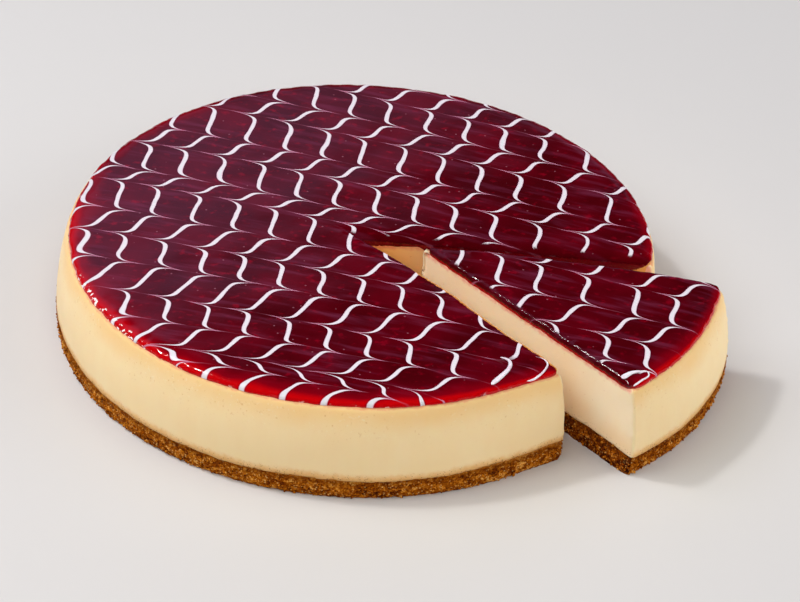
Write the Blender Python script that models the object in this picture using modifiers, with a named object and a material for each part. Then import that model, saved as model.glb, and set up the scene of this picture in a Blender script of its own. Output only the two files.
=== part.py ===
"""A baked cheesecake with a raspberry glaze and one slice drawn part of the way out.

Metres, +Z up. The origin is under the middle of the bounding box of cake and slice together, on
the surface that the cake stands on. Three layers are turned round the cake's axis: a crumb base,
a cream cheese filling and a thin glaze. The cake's layers have a notch cut out of them, and the
slice's layers are cut to a wedge of their own, which stands in the notch, drawn outwards.
"""

import math

import bmesh
import bpy
from mathutils import Vector, noise

# Driving dimensions of the whole cake.
GLAZE_RADIUS = 0.120
WALL_TOP_RADIUS = 0.1205
WALL_RADIUS = 0.127          # widest ring of the wall, low down
BASE_RADIUS = 0.1262         # where the crumb base meets the table
BASE_HEIGHT = 0.0095
FILLING_TOP = 0.0403
GLAZE_TOP = 0.0435
GLAZE_ROUNDING = 0.0026      # the rounded edge that the glaze sets with
WALL_BULGE = 0.65            # power of the wall's curve: 0.5 is an ellipse, 1 a parabola
LAYER_GAP = 0.0003

# The notch, as its point and the directions of its two cuts, from the cake's axis.
NOTCH_POINT = (-0.0014, -0.0034)
NOTCH_NEAR = math.radians(-47.5)
NOTCH_FAR = math.radians(-4.6)

# The slice stands straighter than the rest of the wall, and its point is a little off its own axis.
SLICE_POINT = (0.0278, -0.0100)
SLICE_NEAR = math.radians(-48.3)
SLICE_FAR = math.radians(-9.2)
SLICE_OFFSET = 0.0036
SLICE_WALL_RADIUS = 0.1238
SLICE_BASE_RADIUS = 0.1228
SLICE_CORNER = 0.0030        # rounding of the glaze at the slice's point, seen from above
OUTER_CORNER = 0.0035        # rounding of the glaze where a cut meets the rim, seen from above

# Fineness and the depth of the baked unevenness.
STEPS = 144
WALL_RINGS = 7
BASE_RINGS = 4
SEED = 7.3
WALL_WAVE = 0.0004
CRUST_WAVE = 0.0011          # how far the top of the crumb base goes up and down
CRUMB_RELIEF = 0.0009
CUT_CELL = 0.0042            # mesh size of the crumbly faces that the knife left in the base
CUT_RELIEF = 0.0006

SLICE_BISECTOR = (SLICE_NEAR + SLICE_FAR) / 2
SLICE_AXIS = (SLICE_POINT[0] + SLICE_OFFSET * math.cos(SLICE_BISECTOR),
              SLICE_POINT[1] + SLICE_OFFSET * math.sin(SLICE_BISECTOR))


def reach(point, axis, direction, radius):
    """Distance from a point, along a direction, to the circle of this radius round an axis."""
    dx, dy = math.cos(direction), math.sin(direction)
    px, py = point[0] - axis[0], point[1] - axis[1]
    along = px * dx + py * dy
    return -along + math.sqrt(along * along - (px * px + py * py - radius * radius))


# The slice's far corner is the rightmost point of all, so it sets where the cake's axis stands.
FAR_CORNER = SLICE_POINT[0] + math.cos(SLICE_FAR) * reach(
    SLICE_POINT, SLICE_AXIS, SLICE_FAR, SLICE_WALL_RADIUS)
CAKE_AXIS = ((WALL_RADIUS - FAR_CORNER) / 2, 0.0)


def material(name, colour, roughness):
    """A Principled material without metal."""
    made = bpy.data.materials.new(name)
    made.use_nodes = True
    shader = made.node_tree.nodes["Principled BSDF"]
    shader.inputs["Base Color"].default_value = (*colour, 1.0)
    shader.inputs["Roughness"].default_value = roughness
    shader.inputs["Metallic"].default_value = 0.0
    made.diffuse_color = (*colour, 1.0)
    return made


def wall_radius(height, widest):
    """The filling's outer radius: a curve that swells from under the glaze down to the base."""
    down = max(0.0, (height - BASE_HEIGHT) / (FILLING_TOP - BASE_HEIGHT))
    return WALL_TOP_RADIUS + (widest - WALL_TOP_RADIUS) * (1 - down * down) ** WALL_BULGE


def base_profile(widest, foot):
    """Outer side of the crumb base, from its top down to the table."""
    top = BASE_HEIGHT - LAYER_GAP / 2
    heights = [top * (1 - i / (BASE_RINGS + 1)) for i in range(BASE_RINGS + 2)]
    return [(foot + (widest - foot) * math.sin(h / top * math.pi / 2) ** 0.5, h) for h in heights]


def filling_profile(widest):
    """Outer side of the filling, from under the glaze down to the crumb base."""
    low, high = BASE_HEIGHT + LAYER_GAP / 2, FILLING_TOP - LAYER_GAP / 2
    heights = [low + (high - low) * math.cos(i / WALL_RINGS * math.pi / 2) for i in range(WALL_RINGS + 1)]
    return [(wall_radius(h, widest), h) for h in heights]


def glaze_profile():
    """Outer side of the glaze, which stands straight up: its edge is rounded afterwards."""
    return [(GLAZE_RADIUS, GLAZE_TOP), (GLAZE_RADIUS, FILLING_TOP + LAYER_GAP / 2)]


def ripple(x, y, z, size, offset):
    """Smooth seeded noise from -1 to 1 at a point, with features of the given size."""
    return noise.noise(Vector((x / size, y / size, z / size + SEED + offset)))


def crust_wave(x, y):
    """Rise and fall of the boundary between crumb base and filling, near the wall only."""
    radius = math.hypot(x, y)
    near_wall = min(1.0, max(0.0, (radius - 0.8 * GLAZE_RADIUS) / (0.2 * GLAZE_RADIUS)))
    return CRUST_WAVE * near_wall * ripple(x, y, 0.0, 0.016, 0.0)


def roughen_base(co):
    """Crumbs on the side of the base, and the wave of its top edge."""
    radius = math.hypot(co.x, co.y)
    if radius < 1e-4:
        return co
    share = co.z / BASE_HEIGHT
    out = 0.0
    if radius > GLAZE_RADIUS and 0.05 < share < 0.95:
        out = CRUMB_RELIEF * (ripple(co.x, co.y, co.z, 0.005, 3.0) - 0.35)
    lift = crust_wave(co.x, co.y) * share
    scale = 1 + out / radius
    return Vector((co.x * scale, co.y * scale, co.z + lift))


def roughen_filling(co):
    """Slight dents in the wall, and the wave where it meets the base."""
    radius = math.hypot(co.x, co.y)
    if radius < 1e-4:
        return co
    share = 1 - (co.z - BASE_HEIGHT) / (FILLING_TOP - BASE_HEIGHT)
    out = 0.0
    if radius > WALL_TOP_RADIUS and 0.02 < share < 0.98:
        out = WALL_WAVE * (ripple(co.x, co.y, co.z, 0.02, 9.0) - 0.6)
    scale = 1 + out / radius
    return Vector((co.x * scale, co.y * scale, co.z + crust_wave(co.x, co.y) * share ** 3))


def keep(co):
    """A point as it is."""
    return co


def turned(name, side, shape, axis, collection):
    """A solid of revolution from its outer side, top to bottom, with its points then reshaped."""
    top, bottom = side[0][1], side[-1][1]
    inner = 0.8 * GLAZE_RADIUS
    profile = [(0.0, top), (inner, top), *side, (inner, bottom), (0.0, bottom)]
    mesh = bpy.data.meshes.new(name)
    mesh.from_pydata([(r, 0.0, z) for r, z in profile], [(i, i + 1) for i in range(len(profile) - 1)], [])
    blank = bpy.data.objects.new(name, mesh)
    collection.objects.link(blank)
    screw = blank.modifiers.new("Turn", "SCREW")
    screw.axis = "Z"
    screw.steps = screw.render_steps = STEPS
    screw.use_merge_vertices = True
    screw.merge_threshold = 0.0001
    bpy.context.view_layer.update()
    solid = bpy.data.meshes.new_from_object(blank.evaluated_get(bpy.context.evaluated_depsgraph_get()))
    bpy.data.objects.remove(blank)
    for vertex in solid.vertices:
        vertex.co = shape(vertex.co.copy())
    solid.name = name
    made = bpy.data.objects.new(name, solid)
    made.location = (CAKE_AXIS[0] + axis[0], CAKE_AXIS[1] + axis[1], 0.0)
    collection.objects.link(made)
    return made


def wedge_outline(near, far, length, corner):
    """Corners of a wedge with its point at the origin, the point rounded by this radius."""
    if corner == 0.0:
        point = [(0.0, 0.0)]
    else:
        half = (far - near) / 2
        centre = corner / math.sin(half)
        middle = near + half
        turns = [middle + math.pi + (math.pi / 2 - half) * (2 * i / 6 - 1) for i in range(7)]
        point = [(centre * math.cos(middle) + corner * math.cos(a),
                  centre * math.sin(middle) + corner * math.sin(a)) for a in turns]
    ends = [(length * math.cos(a), length * math.sin(a)) for a in (near, far)]
    return [*point, *ends]


def wedge_cutter(name, place, near, far, corner, rough, collection):
    """An upright wedge to cut with. Its sides are broken into crumbly facets if rough."""
    length, low, high = 2.2 * GLAZE_RADIUS, -0.01, GLAZE_TOP + 0.01
    shape = bmesh.new()
    outline = [shape.verts.new((x, y, low)) for x, y in wedge_outline(near, far, length, corner)]
    floor = shape.faces.new(outline)
    grown = bmesh.ops.extrude_face_region(shape, geom=[floor])
    moved = [item for item in grown["geom"] if isinstance(item, bmesh.types.BMVert)]
    bmesh.ops.translate(shape, verts=moved, vec=(0, 0, high - low))
    if rough:
        roughen_sides(shape, near, far)
    bmesh.ops.recalc_face_normals(shape, faces=shape.faces)
    mesh = bpy.data.meshes.new(name)
    shape.to_mesh(mesh)
    shape.free()
    cutter = bpy.data.objects.new(name, mesh)
    cutter.location = (CAKE_AXIS[0] + place[0], CAKE_AXIS[1] + place[1], 0.0)
    cutter.hide_render = True
    cutter.display_type = "WIRE"
    collection.objects.link(cutter)
    return cutter


def roughen_sides(shape, near, far):
    """Cuts the wedge's two long sides into cells and pushes the cells' corners in and out."""
    def slice_up(point, normal):
        bmesh.ops.bisect_plane(shape, geom=[*shape.verts, *shape.edges, *shape.faces],
                               plane_co=point, plane_no=normal, dist=1e-6)

    for i in range(4):
        slice_up((0, 0, BASE_HEIGHT * (i + 0.4) / 3.2), (0, 0, 1))
    for direction in (near, far):
        along = (math.cos(direction), math.sin(direction), 0)
        across = Vector((-along[1], along[0], 0))
        for i in range(1, int(1.08 * GLAZE_RADIUS / CUT_CELL)):
            point = [i * CUT_CELL * part for part in along]
            slice_up(point, along)
        for vertex in shape.verts:
            depth = vertex.co.dot(across)
            on_side = abs(depth) < 1e-5 and 0 < vertex.co.z < BASE_HEIGHT * 1.02
            if on_side and 0.004 < vertex.co.xy.length < 1.2 * GLAZE_RADIUS:
                push = CUT_RELIEF * ripple(vertex.co.x, vertex.co.y, vertex.co.z, 0.004, 17.0)
                vertex.co += across * push


def cut(solid, cutter, operation):
    """Leaves the cutter's hole in a solid, or only what the cutter covers, and bakes it in."""
    boolean = solid.modifiers.new("Knife", "BOOLEAN")
    boolean.operation = operation
    boolean.solver = "EXACT"
    boolean.object = cutter
    bpy.context.view_layer.update()
    mesh = bpy.data.meshes.new_from_object(
        solid.evaluated_get(bpy.context.evaluated_depsgraph_get()))
    solid.modifiers.clear()
    solid.data = mesh
    return solid


def round_edges(solid, width):
    """Rounds a glaze as it sets: its upright corners first, then a Bevel on its upper edges."""
    mesh = solid.data
    shape = bmesh.new()
    shape.from_mesh(mesh)
    bmesh.ops.dissolve_limit(shape, angle_limit=math.radians(0.5), verts=shape.verts, edges=shape.edges)
    upright = [edge for edge in shape.edges
               if (edge.verts[0].co - edge.verts[1].co).xy.length < 1e-5
               and edge.is_convex and edge.calc_face_angle() > math.radians(40)]
    bmesh.ops.bevel(shape, geom=upright, offset=OUTER_CORNER, segments=3, profile=0.5, affect="EDGES")
    weights = shape.edges.layers.float.new("bevel_weight_edge")
    for edge in shape.edges:
        high = all(vertex.co.z > GLAZE_TOP - 1e-5 for vertex in edge.verts)
        if high and len(edge.link_faces) == 2 and edge.calc_face_angle() > math.radians(60):
            edge[weights] = 1.0
    shape.to_mesh(mesh)
    shape.free()
    bevel = solid.modifiers.new("Set edge", "BEVEL")
    bevel.limit_method = "WEIGHT"
    bevel.width = width
    bevel.segments = 3
    bevel.use_clamp_overlap = False


def finish(solid, look):
    """Gives a solid its material and smooth shading."""
    solid.data.materials.clear()
    solid.data.materials.append(look)
    solid.data.shade_smooth()
    solid.data.set_sharp_from_angle(angle=math.radians(35))


def main():
    for old in list(bpy.data.objects):
        bpy.data.objects.remove(old)
    part = bpy.data.collections.new("baked_cheesecake")
    knives = bpy.data.collections.new("cutters")
    for collection in (part, knives):
        bpy.context.scene.collection.children.link(collection)

    crumb_look = material("crumb base", (0.30, 0.13, 0.035), 0.9)
    cream_look = material("cream cheese filling", (0.83, 0.62, 0.36), 0.55)
    glaze_look = material("raspberry glaze", (0.16, 0.004, 0.015), 0.12)

    notch = {rough: wedge_cutter(f"notch_{rough}", NOTCH_POINT, NOTCH_NEAR, NOTCH_FAR, 0.0, rough, knives)
             for rough in (False, True)}
    wedge = {rough: wedge_cutter(f"wedge_{rough}", SLICE_POINT, SLICE_NEAR, SLICE_FAR, 0.0, rough, knives)
             for rough in (False, True)}
    soft_wedge = wedge_cutter("wedge_soft", SLICE_POINT, SLICE_NEAR, SLICE_FAR, SLICE_CORNER, False, knives)

    layers = (
        ("crumb_base", base_profile(WALL_RADIUS, BASE_RADIUS),
         base_profile(SLICE_WALL_RADIUS, SLICE_BASE_RADIUS), roughen_base, crumb_look),
        ("filling", filling_profile(WALL_RADIUS), filling_profile(SLICE_WALL_RADIUS), roughen_filling, cream_look),
        ("glaze", glaze_profile(), glaze_profile(), keep, glaze_look),
    )
    for name, cake_side, slice_side, shape, look in layers:
        rough = name == "crumb_base"
        whole = cut(turned(f"cake_{name}", cake_side, shape, (0, 0), part), notch[rough], "DIFFERENCE")
        blade = soft_wedge if name == "glaze" else wedge[rough]
        piece = cut(turned(f"slice_{name}", slice_side, shape, SLICE_AXIS, part), blade, "INTERSECT")
        for solid in (whole, piece):
            if name == "glaze":
                round_edges(solid, GLAZE_ROUNDING)
            finish(solid, look)


main()
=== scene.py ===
"""Looks of a baked cheesecake: crumb crust, cream filling, raspberry glaze feathered with white.

Metres, +Z up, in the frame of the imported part. Each layer of the cake and of the slice is one closed
skin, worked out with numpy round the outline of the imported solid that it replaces. The feathered
pattern is a formula too, which the glaze's material works out from the place on the glaze.
"""

import math

import bpy
import numpy as np
from mathutils import Matrix, Vector


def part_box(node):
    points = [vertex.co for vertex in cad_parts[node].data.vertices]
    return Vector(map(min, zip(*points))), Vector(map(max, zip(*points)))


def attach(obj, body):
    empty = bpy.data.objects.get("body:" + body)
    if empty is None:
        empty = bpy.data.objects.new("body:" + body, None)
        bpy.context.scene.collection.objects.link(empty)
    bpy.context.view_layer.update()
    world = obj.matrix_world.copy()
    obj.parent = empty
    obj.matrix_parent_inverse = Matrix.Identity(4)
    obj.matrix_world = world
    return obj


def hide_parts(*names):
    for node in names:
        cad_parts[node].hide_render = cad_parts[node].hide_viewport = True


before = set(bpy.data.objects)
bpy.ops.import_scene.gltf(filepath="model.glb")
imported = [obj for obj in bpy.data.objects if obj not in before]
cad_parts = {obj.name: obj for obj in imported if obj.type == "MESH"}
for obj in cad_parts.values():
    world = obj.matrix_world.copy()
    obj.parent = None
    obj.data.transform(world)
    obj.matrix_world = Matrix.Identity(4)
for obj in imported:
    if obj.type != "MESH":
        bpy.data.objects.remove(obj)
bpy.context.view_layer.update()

MM = 0.001

# The whole cake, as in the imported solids.
GLAZE_LOW, GLAZE_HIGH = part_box("cake_glaze")
GLAZE_RADIUS = (GLAZE_HIGH.y - GLAZE_LOW.y) / 2
CAKE_AXIS = (GLAZE_LOW.x + GLAZE_RADIUS, (GLAZE_LOW.y + GLAZE_HIGH.y) / 2)
GLAZE_TOP = GLAZE_HIGH.z
FILLING_TOP = 40.3 * MM
BASE_HEIGHT = 9.5 * MM
WALL_TOP_RADIUS = 120.5 * MM
WALL_RADIUS = 127.0 * MM
BASE_RADIUS = 126.2 * MM
WALL_BULGE = 0.85

# The notch and the slice: the cuts' meeting point, and the directions of the two cuts.
NOTCH_POINT = (CAKE_AXIS[0] - 1.4 * MM, CAKE_AXIS[1] - 3.4 * MM)
NOTCH_NEAR, NOTCH_FAR = math.radians(-47.5), math.radians(-4.6)
SLICE_POINT = (CAKE_AXIS[0] + 27.8 * MM, CAKE_AXIS[1] - 10.0 * MM)
SLICE_NEAR, SLICE_FAR = math.radians(-48.3), math.radians(-9.2)
SLICE_OFFSET = 3.6 * MM
SLICE_WALL_RADIUS = 123.8 * MM
SLICE_BASE_RADIUS = 122.8 * MM

# The feathered pattern, from the cake's axis: lines are piped along s and then pulled along q. A pull
# is its place in millimetres and its strength.
PULL_TURN = math.radians(-17.5)
PIPED = [q * MM for q in (-117.5, -103.5, -87.5, -69.8, -52.3, -35.5, -18.8,
                          -1.1, 16.1, 33.3, 50.5, 70.0, 90.8, 110.5)]
PULLED_RIGHT = ((114.8, 0.95), (83.0, 1.0), (47.3, 0.72), (13.8, 1.14),
                (-17.0, 0.94), (-51.0, 0.99), (-86.8, 0.8), (-109.5, 0.87))
PULLED_LEFT = ((101.6, 0.8), (68.8, 1.03), (34.0, 1.15), (3.4, 0.97),
               (-33.0, 1.06), (-70.8, 0.95), (-102.2, 1.42))
SLICE_PIPED = [q * MM for q in (15.7, 33.6, 50.3, 70.8, 92.6, 109.3)]
SLICE_PULLED_RIGHT = ((47.8, 0.72), (21.4, 1.14), (-14.4, 0.94), (-49.2, 0.99))
SLICE_PULLED_LEFT = ((31.3, 1.15), (6.6, 0.97), (-32.3, 1.06), (-69.7, 0.95))
PULL_LENGTH = 11.5 * MM
PULL_WIDTH = 0.83 * MM
PULL_POWER = 1.25
LINE_HALF = 1.0 * MM

# How far the lines and the pulls lean, bow and fan out over the cake. Before the slice was drawn out,
# its point lay at SLICE_CAME_FROM, and it has turned a little since.
LINE_LEAN, LINE_CURVE, LINE_FAN = 0.023, -0.128, 0.312
PULL_LEAN, PULL_CURVE, PULL_FAN = 0.019, -0.235, -0.58
SLICE_CAME_FROM, SLICE_TURN = (0.0, 0.1 * MM), math.radians(1.4)


def ahead(point, direction, distance):
    """The place at this distance from a point, in this direction."""
    return point[0] + distance * math.cos(direction), point[1] + distance * math.sin(direction)


class Plan:
    """A layer's cuts seen from above. first and last are the cuts' directions, in the order in which
    the outline meets them counterclockwise. core is a point that sees the whole outline. widest and
    foot are the wall's largest radius and the base's at the bottom. hollow is true for the cake, which
    has the notch. shoulders are the widths of the glaze's rounding along the first and the last cut."""

    def __init__(self, axis, point, first, last, core, widest, foot, hollow, shoulders):
        self.axis, self.point, self.first, self.last = axis, point, first, last
        self.core, self.widest, self.foot, self.hollow = core, widest, foot, hollow
        self.shoulders = shoulders

    def reach(self, direction, radius):
        """Distance from the cuts' point, along a direction, to the circle round the axis."""
        dx, dy = math.cos(direction), math.sin(direction)
        px, py = self.point[0] - self.axis[0], self.point[1] - self.axis[1]
        along = px * dx + py * dy
        return -along + np.sqrt(along ** 2 - (px ** 2 + py ** 2 - radius ** 2))

    def side(self, x, y, direction):
        """Signed distance from the cut's line, positive on the left of its direction."""
        return (y - self.point[1]) * math.cos(direction) - (x - self.point[0]) * math.sin(direction)

    def from_cuts(self, x, y):
        """Distance into the layer from its first cut, its last cut, and from the nearer of both."""
        first, last = self.side(x, y, self.first), -self.side(x, y, self.last)
        return first, last, np.maximum(first, last) if self.hollow else np.minimum(first, last)

    def outline(self, radius, spacing):
        """Edge of the layer, counterclockwise: out along the first cut, round the arc at this radius,
        back along the last cut. radius is a column of one value for each ring. Returns the points, the
        leg that each column is on (-1 the first cut, 0 the arc, 1 the last cut), and how far it is from
        the cuts' point and from the nearer corner."""
        steps = int(GLAZE_RADIUS * 0.95 / spacing)
        out = np.linspace(0, 1, steps, endpoint=False)
        corners, legs = [], []
        for direction, share in ((self.first, out), (self.last, 1 - out)):
            length = self.reach(direction, radius)
            legs.append(ahead(self.point, direction, length * share))
            corner = ahead(self.point, direction, length)
            corners.append(np.arctan2(corner[1] - self.axis[1], corner[0] - self.axis[0]))
        sweep = (corners[1] - corners[0]) % math.tau
        turns = int(sweep.mean() * radius.mean() / spacing)
        angle = corners[0] + sweep * np.linspace(0, 1, turns, endpoint=False)
        arc = [self.axis[0] + radius * np.cos(angle), self.axis[1] + radius * np.sin(angle)]
        x, y = (np.concatenate([legs[0][i], arc[i], legs[1][i]], axis=1) for i in (0, 1))
        column = np.arange(x.shape[1])
        from_point = np.minimum(column, x.shape[1] - column) * spacing
        from_corner = np.minimum(abs(column - steps), abs(column - steps - turns)) * spacing
        leg = np.where(column < steps, -1, np.where(column < steps + turns, 0, 1))
        return x, y, leg, from_point, from_corner


SLICE_MIDDLE = (SLICE_NEAR + SLICE_FAR) / 2
NOTCH_MIDDLE = (NOTCH_NEAR + NOTCH_FAR) / 2
CAKE = Plan(axis=CAKE_AXIS, point=NOTCH_POINT, first=NOTCH_FAR, last=NOTCH_NEAR,
            core=ahead(NOTCH_POINT, NOTCH_MIDDLE, -60 * MM), widest=WALL_RADIUS, foot=BASE_RADIUS,
            hollow=True, shoulders=(6.5 * MM, 1.6 * MM))
SLICE = Plan(axis=ahead(SLICE_POINT, SLICE_MIDDLE, SLICE_OFFSET), point=SLICE_POINT,
             first=SLICE_NEAR, last=SLICE_FAR, core=ahead(SLICE_POINT, SLICE_MIDDLE, 84 * MM),
             widest=SLICE_WALL_RADIUS, foot=SLICE_BASE_RADIUS, hollow=False,
             shoulders=(3.6 * MM, 1.8 * MM))


# ---- Numpy tools for the skins

# Where the ring nearest to the core lies, as a share of the way out to the outline.
POLE = 0.03


def cell_random(ix, iy, iz, seed):
    """A repeatable number from 0 to 1 for each cell of a lattice: its whole-numbered place times three
    large odd factors, mixed with the seed by more factors and by shifts."""
    mixed = np.uint32(0)
    for cell, factor in ((ix, 73856093), (iy, 19349663), (iz, 83492791)):
        mixed = mixed ^ (cell.astype(np.int64).astype(np.uint32) * np.uint32(factor))
    mixed = (mixed ^ np.uint32(seed * 40503 + 977)) * np.uint32(2654435761)
    mixed = (mixed ^ (mixed >> np.uint32(15))) * np.uint32(2246822519)
    return ((mixed ^ (mixed >> np.uint32(13))) & np.uint32(0xFFFF)) / 65535.0


def swell(x, y, z, size, seed):
    """Smooth noise from -1 to 1: random values at the corners of cells of this size, blended inside
    each cell by the cubic 3t^2 - 2t^3 along all three axes."""
    place = [np.asarray(c, float) / size + 100.0 for c in np.broadcast_arrays(x, y, z)]
    low = [np.floor(c) for c in place]
    fade = [(c - f) ** 2 * (3 - 2 * (c - f)) for c, f in zip(place, low)]
    total = 0.0
    for dx in (0, 1):
        for dy in (0, 1):
            for dz in (0, 1):
                weight = 1.0
                for part, upper in zip(fade, (dx, dy, dz)):
                    weight = weight * (part if upper else 1 - part)
                total = total + weight * cell_random(low[0] + dx, low[1] + dy, low[2] + dz, seed)
    return 2 * total - 1


def grains(x, y, z, size, seed):
    """Packed round grains: one random centre in each cell of this size. Returns the distance to the
    nearest centre, in cell sizes, and a random number that is the same all over each grain."""
    place = [np.asarray(c, float) / size + 100.0 for c in np.broadcast_arrays(x, y, z)]
    low = [np.floor(c) for c in place]
    best = np.full(place[0].shape, 9.0)
    tone = np.zeros(place[0].shape)
    for dx in (-1, 0, 1):
        for dy in (-1, 0, 1):
            for dz in (-1, 0, 1):
                cell = (low[0] + dx, low[1] + dy, low[2] + dz)
                apart = sum((c + cell_random(*cell, seed + 11 * i) - p) ** 2
                            for i, (c, p) in enumerate(zip(cell, place)))
                nearer = apart < best
                best = np.where(nearer, apart, best)
                tone = np.where(nearer, cell_random(*cell, seed + 71), tone)
    return np.sqrt(best), tone


def soften(x, y, weight, rounds):
    """Rounds an outline's corners: each round moves a point part of the way to the middle of its two
    neighbours, by its weight."""
    for _ in range(rounds):
        x = x + weight * ((np.roll(x, 1, 1) + np.roll(x, -1, 1)) / 2 - x)
        y = y + weight * ((np.roll(y, 1, 1) + np.roll(y, -1, 1)) / 2 - y)
    return x, y


def outward(x, y):
    """Unit normals of outlines that run counterclockwise: the tangent turned a quarter to the right."""
    tx, ty = np.roll(x, -1, 1) - np.roll(x, 1, 1), np.roll(y, -1, 1) - np.roll(y, 1, 1)
    length = np.hypot(tx, ty) + 1e-12
    return ty / length, -tx / length


def step(t):
    """Smooth step 3t^2 - 2t^3 from 0 to 1."""
    t = np.clip(t, 0, 1)
    return t * t * (3 - 2 * t)


def bell(distance, width):
    """1 at no distance, falling to nothing over about twice the width: exp(-(distance / width)^2)."""
    return np.exp(-(distance / width) ** 2)


def piece(name, points, faces, look, marks):
    """An object of these points and faces that rides with the part. marks are numbers kept on every
    point, for the materials."""
    mesh = bpy.data.meshes.new(name)
    mesh.from_pydata(points.tolist(), [], faces)
    mesh.shade_smooth()
    for mark, values in marks.items():
        kept = mesh.attributes.new(mark, "FLOAT", "POINT")
        kept.data.foreach_set("value", values)
    made = bpy.data.objects.new(name, mesh)
    made.data.materials.append(look)
    bpy.context.collection.objects.link(made)
    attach(made, "root")
    return made


def skin(name, x, y, z, look, marks=None, core=None):
    """Closes a stack of rings, from the top down, into one skin: quads between neighbouring rings and
    a fan to the core or else to the middle of the first and the last. marks have a value for every
    point of the rings."""
    rings, columns = x.shape
    points = np.stack([x, y, z], axis=2).reshape(-1, 3)
    caps = np.array([[*(core or (x[i].mean(), y[i].mean())), z[i].mean()] for i in (0, -1)])
    index = np.arange(rings * columns).reshape(rings, columns)
    here, there = index[:-1], index[1:]
    quads = np.stack([here, there, np.roll(there, -1, 1), np.roll(here, -1, 1)], axis=2).reshape(-1, 4)
    top = np.stack([np.full(columns, index.size), index[0], np.roll(index[0], -1)], axis=1)
    bottom = np.stack([np.full(columns, index.size + 1), np.roll(index[-1], -1), index[-1]], axis=1)
    kept = {}
    for mark, values in (marks or {}).items():
        values = np.broadcast_to(values, x.shape)
        kept[mark] = np.append(values.ravel(), [values[0].mean(), values[-1].mean()])
    faces = quads.tolist() + top.tolist() + bottom.tolist()
    return piece(name, np.concatenate([points, caps]), faces, look, kept)


def eased(plan, x, y, low):
    """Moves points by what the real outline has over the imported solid's straight cuts and round arcs.
    The cake leans out at the top of its sides, its near cut bows into the notch and the corner there
    juts out. The slice is broader towards its far cut, with a blunt point. low is 0 under the glaze
    and 1 at the widest part. Every move is in millimetres, and most are bells or smooth steps along
    the cut that runs last."""
    rx, ry = x - plan.axis[0], y - plan.axis[1]
    radius = np.hypot(rx, ry) + 1e-9
    rx, ry, fade = rx / radius, ry / radius, np.clip(radius / GLAZE_RADIUS, 0, 1) ** 4
    cut = plan.last
    first, last, _ = plan.from_cuts(x, y)
    along = (x - plan.point[0]) * math.cos(cut) + (y - plan.point[1]) * math.sin(cut)
    if plan.hollow:
        right, left = np.clip(rx, 0, 1) ** 2, np.clip(-rx, 0, 1) ** 2
        lean = ((1 - low) * (2.6 * right + 1.3 * left) - low * 1.9 * right) * fade
        bow = (2.2 * (1 - bell(np.maximum(along, 0), 14 * MM)) + 1.2 * bell(along - 52 * MM, 14 * MM)
               - 0.6 * bell(along - 90 * MM, 12 * MM))
        bow = bow * bell(last, 12 * MM) * (along > 0) * (first < 0)
        far = plan.reach(cut, GLAZE_RADIUS)
        corner = np.exp(-((along - far) ** 2 + last ** 2) / (9 * MM) ** 2)
        shift = ((1.3 + 1.2 * low) * corner, -1.8 * corner)
    else:
        share = np.clip(first / (first + last + 1e-9), 0, 1)
        lean = low * 2.0 * step(share * 2) * fade
        bow = 1.6 + 2.9 * step(along / (28 * MM)) - 2.3 * step((along - 95 * MM) / (28 * MM))
        bow = bow * share ** 1.5
        tip = np.exp(-((x - plan.point[0]) ** 2 + (y - plan.point[1]) ** 2) / (5 * MM) ** 2)
        shift = (-1.6 * tip, 1.8 * tip)
    return (x + (lean * rx - bow * math.sin(cut) + shift[0]) * MM,
            y + (lean * ry + bow * math.cos(cut) + shift[1]) * MM)


def shrunk(edge_x, edge_y, core, share):
    """Copies of an outline drawn towards its core: share 1 is the outline, 0 the core. share has one
    value for each ring, or one for each ring and column."""
    return core[0] + share * (edge_x - core[0]), core[1] + share * (edge_y - core[1])


# ---- Shader tools


class Number:
    """A socket that carries a number, so that sums on it add Math nodes."""

    def __init__(self, look, socket):
        self.look, self.socket = look, socket

    def sum(self, operation, *others):
        """Adds the Math node for this operation on the number and the others."""
        return self.look.node("Math", {"operation": operation}, dict(enumerate((self, *others))))

    def __add__(self, other): return self.sum("ADD", other)
    def __sub__(self, other): return self.sum("SUBTRACT", other)
    def __mul__(self, other): return self.sum("MULTIPLY", other)
    def __truediv__(self, other): return self.sum("DIVIDE", other)
    def __pow__(self, other): return self.sum("POWER", other)
    def __abs__(self): return self.sum("ABSOLUTE")
    def __rsub__(self, other): return self * -1 + other
    def __rtruediv__(self, other): return self ** -1 * other

    __radd__, __rmul__ = __add__, __mul__

    def least(self, other):
        """The smaller of both."""
        return self.sum("MINIMUM", other)

    def most(self, other):
        """The larger of both."""
        return self.sum("MAXIMUM", other)

    def rise(self, low, high):
        """0 below low, 1 above high and a smooth step between. With low over high it falls instead."""
        risen = self.look.node("MapRange", {"interpolation_type": "SMOOTHSTEP"},
                               {0: self, 1: min(low, high), 2: max(low, high)})
        return 1 - risen if low > high else risen


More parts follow.
